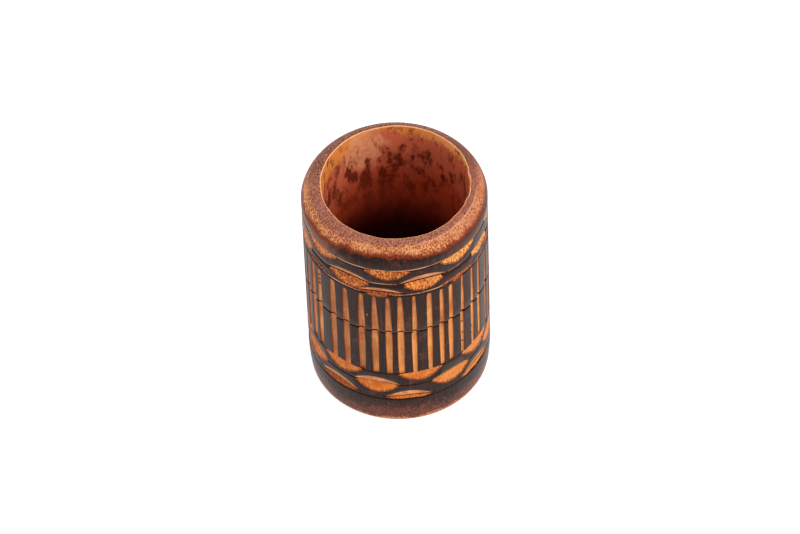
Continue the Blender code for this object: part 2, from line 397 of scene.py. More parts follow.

    # Painted highlight: a paler line along the crease between the flat and the shoulder, on the
    # front right only, where the key light catches the edge.
    crease_highlight = node("Math:ABSOLUTE", node("Math:SUBTRACT", at["radius"], 33.2))
    crease_highlight = node("MapRange:SMOOTHSTEP", crease_highlight, 0.4, 0.1)
    rightward = node("MapRange:SMOOTHSTEP", at["sine"], 0.0, 0.5, 0.0, 0.4)
    forward = node("MapRange:SMOOTHSTEP", at["cosine"], 0.0, 0.3)
    rightward = node("Math:MULTIPLY", rightward, forward)
    crease_highlight = node("Math:MULTIPLY", node("Math:MULTIPLY", crease_highlight, sanded), rightward)
    colour = node("MixRGB", crease_highlight, colour, stain("#D8A68C"))

    rough = node("MapRange:SMOOTHSTEP", sanded, 0.0, 1.0, 0.36, 0.5)
    height = node("Math:MULTIPLY_ADD", lines, 0.35, node("Math:MULTIPLY", fine, 0.5))
    height = node("Math:MULTIPLY_ADD", node("Math:ADD", dots, pits), -0.8, height)
    finish_with(node, colour, rough, height, 0.14, 0.1)
    return finish


def make_chipped_flesh():
    """The lower slope of a leaf: flesh cut across at a slant with a flat chisel, so that the
    bundles show as long dots and the surface looks pebbled. Golden, with stain soaked in at the
    edge."""
    finish, node = new_finish("chisel_cut_bamboo_flesh")
    at = on_stem(node)
    broad = blotches(node, at["point"], 6.0, detail=3)
    fine = blotches(node, at["point"], 0.7, stretch=2.5, detail=3, rough=0.65)
    shades = [(0.35, "#9E4718"), (0.5, "#BA6023"), (0.65, "#D47F34")]
    colour = node("ValToRGB", broad, stops=shades)
    # The leaves on the right took less stain, and those on the left a duller one.
    right = node("MapRange:SMOOTHSTEP", at["sine"], 0.1, 0.6, 0.0, 0.6)
    colour = node("MixRGB", right, colour, stain("#D89654"))
    left = node("MapRange:SMOOTHSTEP", at["sine"], -0.4, -0.75, 0.0, 0.45)
    colour = node("MixRGB", left, colour, stain("#B56B40"))
    # The stain has soaked further into two of the front leaves.
    upper_leaf = patch(node, at, -9, 93.6, 10, 3.4, fine)
    lower_leaf = patch(node, at, -35, 86.6, 8, 3.0, fine)
    deeper = node("Math:MAXIMUM", upper_leaf, lower_leaf)
    colour = node("MixRGB", node("Math:MULTIPLY", deeper, 0.6), colour, stain("#8C3814"))
    # The lower band was cut more cleanly than the upper one.
    rough = node("MapRange:SMOOTHSTEP", at["z"], 40.0, 75.0, 0.34, 1.0)
    clean = node("MapRange:SMOOTHSTEP", at["z"], 60.0, 40.0, 0.0, 0.45)
    colour = node("MixRGB", clean, colour, stain("#C05E18"))
    # Bundles are 0.5 mm apart, drawn at 0.64 mm so that they show.
    cells = wobbled(node, from_bundle(node, at["point"], 0.64, 2.4), fine, 0.5)
    dots = node("MapRange:SMOOTHSTEP", cells, 0.42, 0.18)
    dots = node("Math:MULTIPLY", dots, rough)
    colour = node("MixRGB", node("Math:MULTIPLY", dots, 0.76), colour, stain("#6E2A0C"))
    soft = node("MapRange:SMOOTHSTEP", cells, 0.5, 0.75, 0.0, 0.42)
    colour = node("MixRGB", node("Math:MULTIPLY", soft, rough), colour, stain("#EFA755"))
    # The bottom rows of the two bands are darker and redder, the lower one only on the left.
    upper_row = node("Math:ABSOLUTE", node("Math:SUBTRACT", at["z"], 81.4))
    dark_red = node("MapRange:SMOOTHSTEP", wobbled(node, upper_row, fine, 1.5), 2.4, 1.5, 0.0, 0.9)
    lower_row = node("MapRange:SMOOTHSTEP", at["z"], 18.0, 16.5, 0.0, 0.7)
    leftward = node("MapRange:SMOOTHSTEP", at["sine"], -0.2, -0.5)
    lower_row = node("Math:MULTIPLY", lower_row, leftward)
    dark_red = node("Math:MAXIMUM", dark_red, lower_row)
    red_mottle = node("MapRange:SMOOTHSTEP", fine, 0.38, 0.6)
    dark_red_brown = node("MixRGB", red_mottle, stain("#5A2210"), stain("#A65632"))
    colour = node("MixRGB", dark_red, colour, dark_red_brown)
    soaked_at = wobbled(node, wobbled(node, at["depth"], fine, 0.5), cells, 0.2)
    soaked = node("MapRange:SMOOTHSTEP", soaked_at, 0.34, 0.1, 0.0, 0.85)
    colour = node("MixRGB", soaked, colour, stain("#6B2A10"))
    height = node("Math:MULTIPLY_ADD", dots, -0.6, node("Math:MULTIPLY", fine, 0.7))
    finish_with(node, colour, 0.5, height, 0.26, 0.12)
    return finish


def make_sliced_flesh():
    """The upper slope of a leaf: flesh sliced smoothly with the grain, pale, slightly shiny."""
    finish, node = new_finish("smooth_sliced_bamboo_flesh")
    at = on_stem(node)
    broad = blotches(node, at["point"], 5.0)
    fine = blotches(node, at["point"], 0.6, stretch=8)
    shade = node("Math:MULTIPLY_ADD", fine, 0.4, node("Math:MULTIPLY", broad, 0.6))
    shades = [(0.35, "#A5603A"), (0.5, "#BF794A"), (0.62, "#D69464")]
    colour = node("ValToRGB", shade, stops=shades)
    # On the left, the upper band took a duller stain.
    left = node("MapRange:SMOOTHSTEP", at["sine"], -0.3, -0.6, 0.0, 0.4)
    upper = node("MapRange:SMOOTHSTEP", at["z"], 40.0, 70.0, -0.6, 1.0)
    left = node("Math:MAXIMUM", node("Math:MULTIPLY", left, upper), 0.0)
    colour = node("MixRGB", left, colour, stain("#985C3C"))
    soaked_at = wobbled(node, at["depth"], fine, 0.3)
    soaked = node("MapRange:SMOOTHSTEP", soaked_at, 0.2, 0.05, 0.0, 0.7)
    colour = node("MixRGB", soaked, colour, stain("#7A3216"))
    finish_with(node, colour, 0.42, fine, 0.06, 0.15)
    return finish


def make_knife_line():
    """The stop cuts and the level lines: narrow knife cuts, near black from the stain left in them
    and from painted shade inside the cut.
    """
    finish, node = new_finish("stain_and_painted_shade_knife_cut")
    at = on_stem(node)
    fine = blotches(node, at["point"], 0.8, detail=3)
    colour = node("MixRGB", fine, stain("#150906"), stain("#3A190D"))
    finish_with(node, colour, 0.55, fine, 0.05, 0.08)
    return finish


def make_worn_lip():
    """The upper corner of a level line, rubbed through the stain by hands: a thin pinkish tan line
    that comes and goes."""
    finish, node = new_finish("rubbed_bamboo_edge")
    at = on_stem(node)
    patchy = blotches(node, at["point"], 7.0, detail=3, rough=0.6)
    fine = blotches(node, at["point"], 0.7, detail=3)
    rubbed = node("MapRange:SMOOTHSTEP", wobbled(node, patchy, fine, 0.4), 0.34, 0.56)
    colour = node("MixRGB", rubbed, stain("#7E4029"), stain("#CE9068"))
    middle = node("Math:ABSOLUTE", node("Math:SUBTRACT", at["z"], MID_LINE))
    middle = node("MapRange:SMOOTHSTEP", middle, 3.0, 2.0, 0.0, 0.7)
    colour = node("MixRGB", middle, colour, stain("#74351F"))
    finish_with(node, colour, 0.5, fine, 0.05, 0.12)
    return finish


# Pits left by a borer in three of the bars: angle, height and radius.
PITS = (
    (-57.8, 70.4, 0.6), (-57.6, 73.0, 0.55), (-57.9, 75.8, 0.5),
    (43.6, 38.6, 0.5), (43.7, 44.0, 0.45), (43.5, 51.3, 0.45),
    (52.9, 37.9, 0.35), (52.9, 42.5, 0.3),
)
PIT_RADIUS = BELLY_RADIUS - 1.4  # how far the pits are from the axis


def make_gouged_flesh():
    """The upright bars: flesh scooped along the grain with a round gouge, so that it shows smooth
    long grain, with the cut-open ends of bundles as short dark dashes."""
    finish, node = new_finish("gouged_long_grain_bamboo")
    at = on_stem(node)
    broad = blotches(node, at["point"], 5.0, stretch=2.0, detail=3)
    grain = blotches(node, at["point"], 0.45, stretch=20, detail=3)
    shade = node("Math:MULTIPLY_ADD", grain, 0.4, node("Math:MULTIPLY", broad, 0.6))
    shades = [(0.38, "#AE6231"), (0.5, "#C67B41"), (0.62, "#DC9856")]
    colour = node("ValToRGB", shade, stops=shades)
    # Below the middle line the bars are cleaner, and on the left they took more stain.
    clean = node("MapRange:SMOOTHSTEP", at["z"], 60.0, 54.0, 0.0, 0.36)
    clean = node("Math:MULTIPLY", clean, node("MapRange:SMOOTHSTEP", at["sine"], -0.55, -0.2))
    colour = node("MixRGB", clean, colour, stain("#EEA050"))
    across = wobbled(node, at["sine"], broad, 0.6)
    stained = node("MapRange:SMOOTHSTEP", across, -0.02, -0.36, 0.0, 0.5)
    far_left = node("MapRange:SMOOTHSTEP", at["sine"], -0.72, -0.84, 1.0, 0.4)
    stained = node("Math:MULTIPLY", stained, far_left)
    colour = node("MixRGB", stained, colour, stain("#864420"))
    # Bundles are 0.5 mm apart, drawn at 0.9 mm so that they show as dashes and pits.
    dashes = node("MapRange:SMOOTHSTEP", from_bundle(node, at["point"], 0.9, 3.0), 0.3, 0.16)
    gather = blotches(node, at["point"], 7.0, shift=(5, 2, 9))
    blotched = patch(node, at, -34.5, 46, 3.5, 10)
    gather = node("Math:MULTIPLY_ADD", blotched, 0.12, gather)
    leftward = node("MapRange:SMOOTHSTEP", at["sine"], -0.2, -0.6, 0.0, 0.07)
    gather = node("Math:ADD", gather, leftward)
    dashes = node("Math:MULTIPLY", dashes, node("MapRange:SMOOTHSTEP", gather, 0.48, 0.6))
    colour = node("MixRGB", node("Math:MULTIPLY", dashes, 0.75), colour, stain("#622410"))
    side = node("MapRange:SMOOTHSTEP", wobbled(node, at["depth"], grain, 0.2), 0.72, 0.3, 0.0, 0.8)
    colour = node("MixRGB", side, colour, stain("#843616"))
    soaked = node("MapRange:SMOOTHSTEP", at["depth"], 0.3, 0.12, 0.0, 0.85)
    colour = node("MixRGB", soaked, colour, stain("#3A170B"))
    pitted = 0.0
    for angle, height, radius in PITS:
        pit = patch(node, at, angle, height, radius, radius * 1.25, radius=PIT_RADIUS)
        pitted = node("Math:MAXIMUM", pitted, pit)
    colour = node("MixRGB", node("Math:MULTIPLY", pitted, 0.85), colour, stain("#2A0E06"))
    relief = node("Math:MULTIPLY_ADD", pitted, -2.0, grain)
    finish_with(node, colour, 0.45, relief, 0.06, 0.15)
    return finish


def make_bored_hollow():
    """The hollow's wall: bored flesh, wiped with red-brown stain that ran down in blotches and
    left the top band bare, with painted light on the left of the wall and painted shade deep
    down. Long grain with upright streaks."""
    finish, node = new_finish("stain_wiped_bored_bamboo")
    at = on_stem(node)
    broad = blotches(node, at["point"], 9.0, stretch=1.4, detail=3, rough=0.55)
    shift = (4.6, 1.15, 9.16)
    blots = blotches(node, at["point"], 3.6, stretch=1.9, detail=3, rough=0.5, shift=shift)
    fine = blotches(node, at["point"], 1.3, stretch=1.6, detail=3, rough=0.6)
    grain = blotches(node, at["point"], 0.7, stretch=22, detail=3)
    down = node("Math:SUBTRACT", HEIGHT, at["z"])
    colour = node("MixRGB", grain, stain("#CC7434"), stain("#E08E4A"))
    right = node("MapRange:SMOOTHSTEP", at["sine"], 0.2, 0.8, 0.0, 0.8)
    colour = node("MixRGB", right, colour, stain("#EEA060"))
    # The bare band is about 3 mm high. On the left it reaches about 9 mm down as painted light,
    # where the key light falls on the wall.
    uneven = wobbled(node, wobbled(node, down, broad, 12.0), fine, 8.0)
    painted_light_reach = node("MapRange:SMOOTHSTEP", at["sine"], -0.3, -0.9, -1.0, 5.0)
    uneven = node("Math:SUBTRACT", uneven, painted_light_reach)
    wiped = node("MapRange:SMOOTHSTEP", uneven, 2.0, 6.0)
    red = node("MixRGB", grain, stain("#B2523A"), stain("#CC6C4A"))
    colour = node("MixRGB", wiped, colour, red)
    # Painted light: a paler, pinkish patch left of the back, where the key light falls into the
    # hollow.
    painted_light_patch = patch(node, at, 205, HEIGHT - 10, 8.8, 10, blots, radius=BORE_RADIUS)
    painted_light = node("MapRange:SMOOTHSTEP", fine, 0.36, 0.56, 0.35, 0.8)
    painted_light = node("Math:MULTIPLY", painted_light, painted_light_patch)
    colour = node("MixRGB", painted_light, colour, stain("#DE986C"))
    # The stain has gathered in dark blotches.
    reach = node("MapRange:SMOOTHSTEP", down, 2.0, 14.0, -0.1, 0.03)
    gathered = node("Math:ADD", wobbled(node, blots, fine, 0.36), reach)
    # Painted light: fewer dark blotches in the lit patch.
    gathered = node("Math:MULTIPLY_ADD", painted_light_patch, -0.07, gathered)
    thinner = node("MapRange:SMOOTHSTEP", at["sine"], 0.2, 0.7, 0.0, 0.05)
    gathered = node("Math:SUBTRACT", gathered, thinner)
    marks = node("MapRange:SMOOTHSTEP", gathered, 0.44, 0.66, 0.0, 0.84)
    # Further down the wall turns redder and darker, and almost black towards the foot: partly
    # stain, partly painted shade deep in the hollow.
    deep = node("MapRange:SMOOTHSTEP", uneven, 14.0, 36.0, 0.0, 0.72)
    colour = node("MixRGB", deep, colour, stain("#B03C18"))
    fading = node("MapRange:SMOOTHSTEP", down, 22.0, 46.0, 1.0, 0.4)
    colour = node("MixRGB", node("Math:MULTIPLY", marks, fading), colour, stain("#521003"))
    bottom = node("MapRange:SMOOTHSTEP", down, 36.0, 62.0)
    colour = node("MixRGB", bottom, colour, stain("#420903"))
    finish_with(node, colour, 0.6, grain, 0.08, 0.08)
    return finish


def make_bare_arris():
    """The edge of the hollow: the corner taken off with a knife after the staining, so that it is
    bare and pale."""
    finish, node = new_finish("bare_cut_bamboo_arris")
    at = on_stem(node)
    fine = blotches(node, at["point"], 1.5, detail=3)
    colour = node("MixRGB", fine, stain("#D88A52"), stain("#F2BE90"))
    finish_with(node, colour, 0.5, fine, 0.05, 0.15)
    return finish


BOARD_STRIP = 6.0  # the width of a strip in the base board
NODE_SPACING, NODE_SPREAD = 48.0, 61.0  # a strip's own nodes, and how far apart the strips' are


def make_bamboo_board():
    """Laminated bamboo board, sanded and oiled: pale strips side by side, with the dark bands of
    the nodes across them."""
    finish, node = new_finish("sanded_oiled_bamboo_board")
    at = on_stem(node)
    x, y, _ = node("SeparateXYZ", at["point"]).node.outputs
    across = node("Math:DIVIDE", x, BOARD_STRIP)
    # Each strip has its own shade and its own nodes.
    strip = node("Math:FLOOR", across)
    own = node("TexWhiteNoise", named={"W": strip}, noise_dimensions="1D")
    along = node("Mapping", at["point"], named={"Scale": (1 / 0.4, 1 / 12, 1 / 0.4)})
    grain = node("TexNoise", named={"Vector": along, "Scale": 1.0, "Detail": 3.0})
    colour = node("MixRGB", own, stain("#C39A66"), stain("#DDB883"))
    colour = node("MixRGB", node("Math:MULTIPLY", grain, 0.5), colour, stain("#A87843"))
    edge = node("Math:ABSOLUTE", node("Math:SUBTRACT", node("Math:FRACT", across), 0.5))
    glue = node("MapRange:SMOOTHSTEP", edge, 0.485, 0.498, 0.0, 0.6)
    colour = node("MixRGB", glue, colour, stain("#6A4322"))
    shifted = node("Math:MULTIPLY_ADD", own, NODE_SPREAD, y)
    shifted = node("Math:DIVIDE", shifted, NODE_SPACING)
    band = node("Math:ABSOLUTE", node("Math:SUBTRACT", node("Math:FRACT", shifted), 0.5))
    band = node("MapRange:SMOOTHSTEP", band, 0.03, 0.005, 0.0, 0.6)
    colour = node("MixRGB", band, colour, stain("#8A5A2E"))
    finish_with(node, colour, 0.5, grain, 0.05, 0.35)
    return finish


def make_floor_leather():
    """Vegetable-tanned cowhide, dark brown, waxed: fine pebbled grain with the scuffs of dice."""
    finish, node = new_finish("vegetable_tanned_leather")
    at = on_stem(node)
    # The pebbles of the grain are 0.7 mm across.
    pebbles = node("TexVoronoi", named={"Vector": at["point"], "Scale": 1.4}, feature="F1")
    broad = blotches(node, at["point"], 9.0, detail=4)
    scuffs = blotches(node, at["point"], 2.2, detail=3, rough=0.7)
    colour = node("MixRGB", broad, stain("#2E140B"), stain("#4A2414"))
    scuffed = node("MapRange:SMOOTHSTEP", scuffs, 0.58, 0.72, 0.0, 0.5)
    colour = node("MixRGB", scuffed, colour, stain("#7A4A2E"))
    finish_with(node, colour, 0.55, node("Math:SUBTRACT", 1.0, pebbles), 0.12, 0.35)
    return finish


STAINED_SKIN = make_stained_skin()
CHIPPED_FLESH = make_chipped_flesh()
SLICED_FLESH = make_sliced_flesh()
KNIFE_LINE = make_knife_line()
WORN_LIP = make_worn_lip()
GOUGED_FLESH = make_gouged_flesh()
BORED_HOLLOW = make_bored_hollow()
BARE_ARRIS = make_bare_arris()
BAMBOO_BOARD = make_bamboo_board()
FLOOR_LEATHER = make_floor_leather()


# ---------------------------------------------------------------- the turned stem

BORE_FLARE, FLARE_DEEP = 0.25, 9.0  # how much wider the bore is at the mouth, and from where
ARRIS_TOP, ARRIS_STEP = 0.6, 0.14  # the top of the arris lies this far outside the bore
SHARP_EDGE = 32  # sharper corners of the stem and the board stay sharp


def skin_radius(height):
    return BELLY_RADIUS - (height - BELLY_HEIGHT) * SKIN_TAPER


def between(start, end, count, curve):
    """Points of the curve from just after its start to its end."""
    return [curve(start + (end - start) * (at + 1) / count) for at in range(count)]


def rim_point(share):
    """A point on the rolled rim, from the neck at 0 to the flat at 1."""
    a, b, c = (1 - share) ** 2, 2 * share * (1 - share), share**2
    radius = a * NECK_RADIUS + b * RIM_PULL[0] + c * RIM_FLAT_RADIUS
    height = a * NECK_HEIGHT + b * RIM_PULL[1] + c * HEIGHT
    return radius, height, 0.0


def foot_point(share):
    """A point on the foot's small rounding, from the flat at 0 to the side at 1."""
    angle = share * math.pi / 2
    radius = FOOT_FLAT_RADIUS + FOOT_ROUNDING * math.sin(angle)
    return radius, FOOT_ROUNDING * (1 - math.cos(angle)), 0.0


def belly_point(height):
    """A point on the side between the foot's rounding and the belly."""
    share = (height - FOOT_ROUNDING) / (BELLY_HEIGHT - FOOT_ROUNDING)
    return FOOT_RADIUS + (BELLY_RADIUS - FOOT_RADIUS) * math.sin(share * math.pi / 2), height, 0.0


def bore_point(height):
    """The bore widens a little towards the mouth."""
    flare = BORE_FLARE * max(0.0, (height - HEIGHT + FLARE_DEEP) / FLARE_DEEP) ** 1.5
    return BORE_RADIUS + flare, height, BORE_CENTRE


def make_turned_stem():
    outline = [(REBATE_RADIUS, 0.0, BORE_CENTRE), (FOOT_FLAT_RADIUS, 0.0, 0.0)]
    outline += between(0, 1, 4, foot_point)
    outline += between(FOOT_ROUNDING, BELLY_HEIGHT, 4, belly_point)
    outline += between(BELLY_HEIGHT, NECK_HEIGHT, 12, lambda z: (skin_radius(z), z, 0.0))
    outline += between(0, 1, 16, rim_point)
    arris_foot, bore_middle = HEIGHT - ARRIS_DROP, HEIGHT - 30
    outline += [
        (BORE_RADIUS + ARRIS_TOP, HEIGHT, BORE_CENTRE),
        (BORE_RADIUS + ARRIS_TOP - ARRIS_STEP, HEIGHT, BORE_CENTRE),
        (BORE_RADIUS + BORE_FLARE, arris_foot, BORE_CENTRE),
    ]
    outline += between(arris_foot, bore_middle, 20, bore_point)
    outline += between(bore_middle, REBATE_DEPTH, 8, bore_point)
    outline += [(REBATE_RADIUS, REBATE_DEPTH, BORE_CENTRE), (REBATE_RADIUS, 0.0, BORE_CENTRE)]
    stem = turned_ring("carved_stem", outline)
    for finish in (STAINED_SKIN, BORED_HOLLOW, BARE_ARRIS):
        stem.data.materials.append(finish)

    def off_axis(vertex):
        return math.hypot(vertex.x / MM - BORE_CENTRE, vertex.y / MM)

    # The hollow is uneven above its foot, more so upwards, and its mouth is trimmed by knife.
    hollow, mouth, lean = (
        stem.vertex_groups.new(name=name) for name in ("hollow", "mouth", "lean")
    )
    even_below, fade = 12, 40
    for vertex in stem.data.vertices:
        height = vertex.co.z / MM
        if off_axis(vertex.co) < BORE_RADIUS + ARRIS_TOP + 0.1 and height > even_below:
            hollow.add([vertex.index], min(1.0, (height - even_below) / fade), "REPLACE")
            if height > HEIGHT - MOUTH_DEEP:
                # The knife slipped more on the right.
                slips = 0.22 + 0.78 * max(0.0, vertex.co.x / MM / BORE_RADIUS) ** 3
                near = ((height - HEIGHT + MOUTH_DEEP) / MOUTH_DEEP) ** 2
                lean.add([vertex.index], min(1.0, near), "REPLACE")
                mouth.add([vertex.index], min(1.0, near * slips), "REPLACE")
    for polygon in stem.data.polygons:
        height = polygon.center.z / MM
        if off_axis(polygon.center) < BORE_RADIUS + ARRIS_TOP and height > REBATE_DEPTH + 0.01:
            polygon.material_index = 2 if height > HEIGHT - ARRIS_DROP + 0.02 else 1
    roughen(stem, cloud("hand_boring_across", 16), 0.7, "X", "hollow")
    roughen(stem, cloud("hand_boring_along", 13), 0.7, "Y", "hollow")
    roughen(stem, cloud("knife_strokes", 3.6, 1), 1.2, "X", "mouth")
    roughen(stem, cloud("knife_turns", 4.0, 1), 1.2, "Y", "mouth")
    # The mouth was trimmed a little further to the back than the hollow.
    settings = {"strength": MOUTH_LEAN * MM, "mid_level": 0.0, "direction": "Y"}
    apply_modifier(stem, "DISPLACE", vertex_group="lean", **settings)
    return stem


# ---------------------------------------------------------------- the carving

LEAF_HALF_SPAN = 15.0
LEAVES_IN_ROW = 8
# Each row of leaves: the level of its V line, its upper and lower points, half the width of the
# stop cut, and the middles of the leaves seen from the front. The rest are spread evenly round the
# back.
LEAF_ROWS = (
    (96.2, 97.0, 91.5, 0.1, (-54.0, -6.5, 41.0)),
    (88.6, 92.2, 84.0, 0.34, (-32.0, 16.5, 63.0)),
    (82.8, 86.0, 81.0, 0.3, (-57.0, -12.0, 40.5)),
    (31.7, 32.5, 26.5, 0.08, (-39.0, 12.5, 56.0)),
    (24.4, 28.8, 19.3, 0.12, (-66.0, -16.0, 33.5, 78.0)),
    (16.4, 21.0, 14.9, 0.22, (-42.5, 5.0, 55.5)),
)
# Leaves whose upper slope was cut lower than in the rest of their row: their line, their angle and
# how high that slope is, as a share of the others.
LOW_SLOPES = {(88.6, -32.0): 0.94, (88.6, 63.0): 0.6, (82.8, 40.5): 0.35, (24.4, 33.5): 0.55}
# Leaves that were cut less deep, by this much.
SHALLOW_LEAVES = {(88.6, 63.0): 0.3, (82.8, -57.0): 0.5}
# The level lines: height, depth, half the height of the cut's floor, reach below the deepest
# point, height of the worn lip, and how far the line drops towards the right and the back.
UPPER_AND_LOWER_LINES = (
    (96.1, 0.45, 0.12, 0.35, 0.7, (0.2, 0.2)),
    (88.5, 0.5, 0.12, 1.3, 0.6, (0.2, -0.2)),
    (80.9, 0.45, 0.12, 0.35, 0.8, (0.6, 0.6)),
    (31.6, 0.5, 0.12, 0.4, 0.12, (-0.2, 0.2)),
    (24.3, 0.45, 0.12, 0.35, 0.15, (0.2, -0.2)),
    (14.7, 0.5, 0.12, 0.6, 0.12, (-0.2, 0.2)),
)
MIDDLE_LINE = (MID_LINE, 1.4, 0.34, 0.06, 0.4, (0.6, 0.6))
# The bars seen from the front: angle, width at the middle line, how wide the upper stroke is at
# its top as a share of that, and whether the lower stroke runs on into a leaf.
FRONT_BARS = (
    (-72.5, 3.2, 0.8, 0), (-64.2, 3.3, 0.8, 0), (-56.8, 3.3, 0.85, 0), (-44.2, 3.6, 0.85, 1),
    (-34.2, 3.4, 0.66, 1), (-23.5, 3.0, 0.72, 0), (-14.9, 3.1, 0.55, 0), (-6.4, 2.9, 0.62, 0),
    (1.1, 3.0, 0.66, 0), (9.5, 2.2, 0.66, 1), (19.6, 2.4, 0.9, 1), (27.6, 2.3, 0.78, 0),
    (34.0, 2.4, 0.9, 0), (43.3, 2.2, 0.62, 0), (52.6, 2.4, 0.74, 0), (60.5, 2.4, 0.74, 0),
    (71.5, 2.4, 0.74, 0),
)
BAR_COUNT = 40
BAR_TOP, BAR_BOTTOM, BAR_DEPTH = 80.6, 32.0, 1.0


def carve(stem, cutter):
    """Cuts the cutter's shape out of the stem, leaves its finishes on the cut, and removes it."""
    clear_selection()
    apply_modifier(
        stem,
        "BOOLEAN",
        object=cutter,
        operation="DIFFERENCE",
        solver="EXACT",
        material_mode="TRANSFER",
    )
    bpy.data.objects.remove(cutter)


def make_leaf_cutter(line, top, bottom, stop_half):
    """One chip of a row, lying along +X: a narrow stop cut at the V line, opened out to two flat
    slopes that end at the row's upper and lower points."""
    inner = skin_radius(line) * math.cos(math.radians(LEAF_HALF_SPAN))
    stop_deep, reach = 0.35, 1.9
    depth = skin_radius(line) - inner
    upper = (top - line) * (1 + reach)
    lower = (bottom - line) * (1 + reach)
    clear_selection()
    bpy.ops.mesh.primitive_cube_add(size=1)
    cutter = name_new("leaf_chip")
    bpy.ops.object.mode_set(mode="EDIT")
    bpy.ops.transform.resize(value=(stop_deep * MM, 25 * MM, 2 * stop_half * MM))
    bpy.ops.transform.translate(value=((inner - stop_deep / 2) * MM, 0, line * MM))
    pick("FACE", lambda face: face.normal.x > 0.9)
    out = depth * (1 + reach) * MM
    bpy.ops.mesh.extrude_region_move(TRANSFORM_OT_translate={"value": (out, 0, 0)})
    edge_at = inner * MM + out
    for sign, rise in ((1, upper), (-1, lower)):
        pick("VERT", lambda end: end.co.x > edge_at - 1e-5 and (end.co.z - line * MM) * sign > 0)
        bpy.ops.transform.translate(value=(0, 0, rise * MM))
    pick("EDGE", lambda edge: abs(edge.verts[0].co.y - edge.verts[1].co.y) > 5 * MM)
    bpy.ops.mesh.subdivide(number_cuts=42)
    pick("EDGE", lambda edge: abs(edge.verts[0].co.x - edge.verts[1].co.x) > 2 * MM)
    bpy.ops.mesh.subdivide(number_cuts=14)
    finish_edit()
    for finish in (CHIPPED_FLESH, SLICED_FLESH, KNIFE_LINE):
        cutter.data.materials.append(finish)
    for polygon in cutter.data.polygons:
        if polygon.center.x < (inner + 0.02) * MM:
            polygon.material_index = 2
        elif polygon.normal.z > 0.1:
            polygon.material_index = 1
    slope = cutter.vertex_groups.new(name="chiselled")
    for vertex in cutter.data.vertices:
        if vertex.co.z < (line - stop_half / 2) * MM:
            slope.add([vertex.index], 1.0, "REPLACE")
    return cutter


def lower_slope_top(cutter, line, share):
    """Flattens the upper slope of a chip."""
    select_only(cutter)
    bpy.ops.object.mode_set(mode="EDIT")
    pick("VERT", lambda vertex: vertex.co.z > line * MM)
    bpy.ops.transform.resize(value=(1, 1, share), center_override=(0, 0, line * MM))
    bpy.ops.object.mode_set(mode="OBJECT")


def spread_round(front, count):
    """The front places, and the rest of the count spread evenly round the back."""
    start, end = front[-1], front[0] + 360
    gaps = count - len(front) + 1
    return list(front) + [start + (end - start) * at / gaps for at in range(1, gaps)]


def carve_leaves(stem):
    chips = cloud("chisel_marks", 1.1, 3)
    for line, top, bottom, stop_half, front in LEAF_ROWS:
        pattern = make_leaf_cutter(line, top, bottom, stop_half)
        cutters = []
        for angle in spread_round(front, LEAVES_IN_ROW):
            cutter = copy_of(pattern)
            if (line, angle) in LOW_SLOPES:
                lower_slope_top(cutter, line, LOW_SLOPES[line, angle])
            lift = HAND.uniform(-0.25, 0.25)
            place(cutter, (HAND.uniform(-0.8, 0.8), 0, 0))
            shallow = SHALLOW_LEAVES.get((line, angle), 0.0)
            place(cutter, (0, 0, 0), (HAND.uniform(-0.08, 0.08) + shallow, 0, lift))
            place(cutter, (0, 0, angle - 90 + HAND.uniform(-0.5, 0.5)))
            cutters.append(cutter)
        bpy.data.objects.remove(pattern)
        row = joined(cutters, "leaf_row")
        roughen(row, chips, 0.3, group="chiselled")
        carve(stem, row)


def make_stroke(width, stations, depth):
    """One gouge stroke along +X. A station is a height, how far the gouge has come up out of the
    wood there, as a share of its depth, and how wide it cuts, as a share of the width."""
    thick = depth * 1.06
    clear_selection()
    bpy.ops.mesh.primitive_circle_add(vertices=18, radius=MM, fill_type="NGON")
    stroke = name_new("gouge_stroke")

    def centre(height, lifted):
        return skin_radius(height) - depth + thick + lifted * depth

    height, lifted, wide = stations[0]
    bpy.ops.object.mode_set(mode="EDIT")
    bpy.ops.mesh.select_all(action="SELECT")
    bpy.ops.transform.resize(value=(thick, width / 2 * wide, 1))
    bpy.ops.transform.translate(value=(centre(height, lifted) * MM, 0, height * MM))
    for (z0, lift0, wide0), (z1, lift1, wide1) in zip(stations, stations[1:]):
        out = (centre(z1, lift1) - centre(z0, lift0)) * MM
        wobble = HAND.uniform(-0.07, 0.07) * MM
        bpy.ops.mesh.extrude_region_move(
            TRANSFORM_OT_translate={"value": (out, wobble, (z1 - z0) * MM)}
        )
        middle = (centre(z1, lift1) * MM, 0, z1 * MM)
        grow = wide1 / wide0 * HAND.uniform(0.97, 1.03)
        bpy.ops.transform.resize(value=(1, grow, 1), center_override=middle)
    finish_edit()
    stroke.data.materials.append(GOUGED_FLESH)
    return stroke


def upper_stations(high, top):
    """Cut upwards from the middle line: the gouge slowly comes up and narrows, then lifts out."""
    low = MID_LINE - 0.1
    run = high - 1.6 - low
    shares = (0, 0.25, 0.5, 0.75, 1)
    stations = [(low + run * t, 0.2 * t**2, 1 - (1 - top) * t**1.3) for t in shares]
    ends = ((0.9, 0.4, 0.96), (0.3, 0.7, 0.84), (0.0, 1.0, 0.62))
    return stations + [(high - below, lifted, top * wide) for below, lifted, wide in ends]


def lower_stations(low):
    """Cut from the middle line down to a square end, where a chip was broken off."""
    high = MID_LINE + 0.1
    run = high - low - 0.35
    shares = ((0.3, 0.9), (0.65, 1.0), (0.88, 0.96), (1, 0.9))
    stations = [(low, 0.0, 0.8), (low + 0.35, 0.0, 0.8)]
    return stations + [(low + 0.35 + run * t, 0.0, wide) for t, wide in shares]


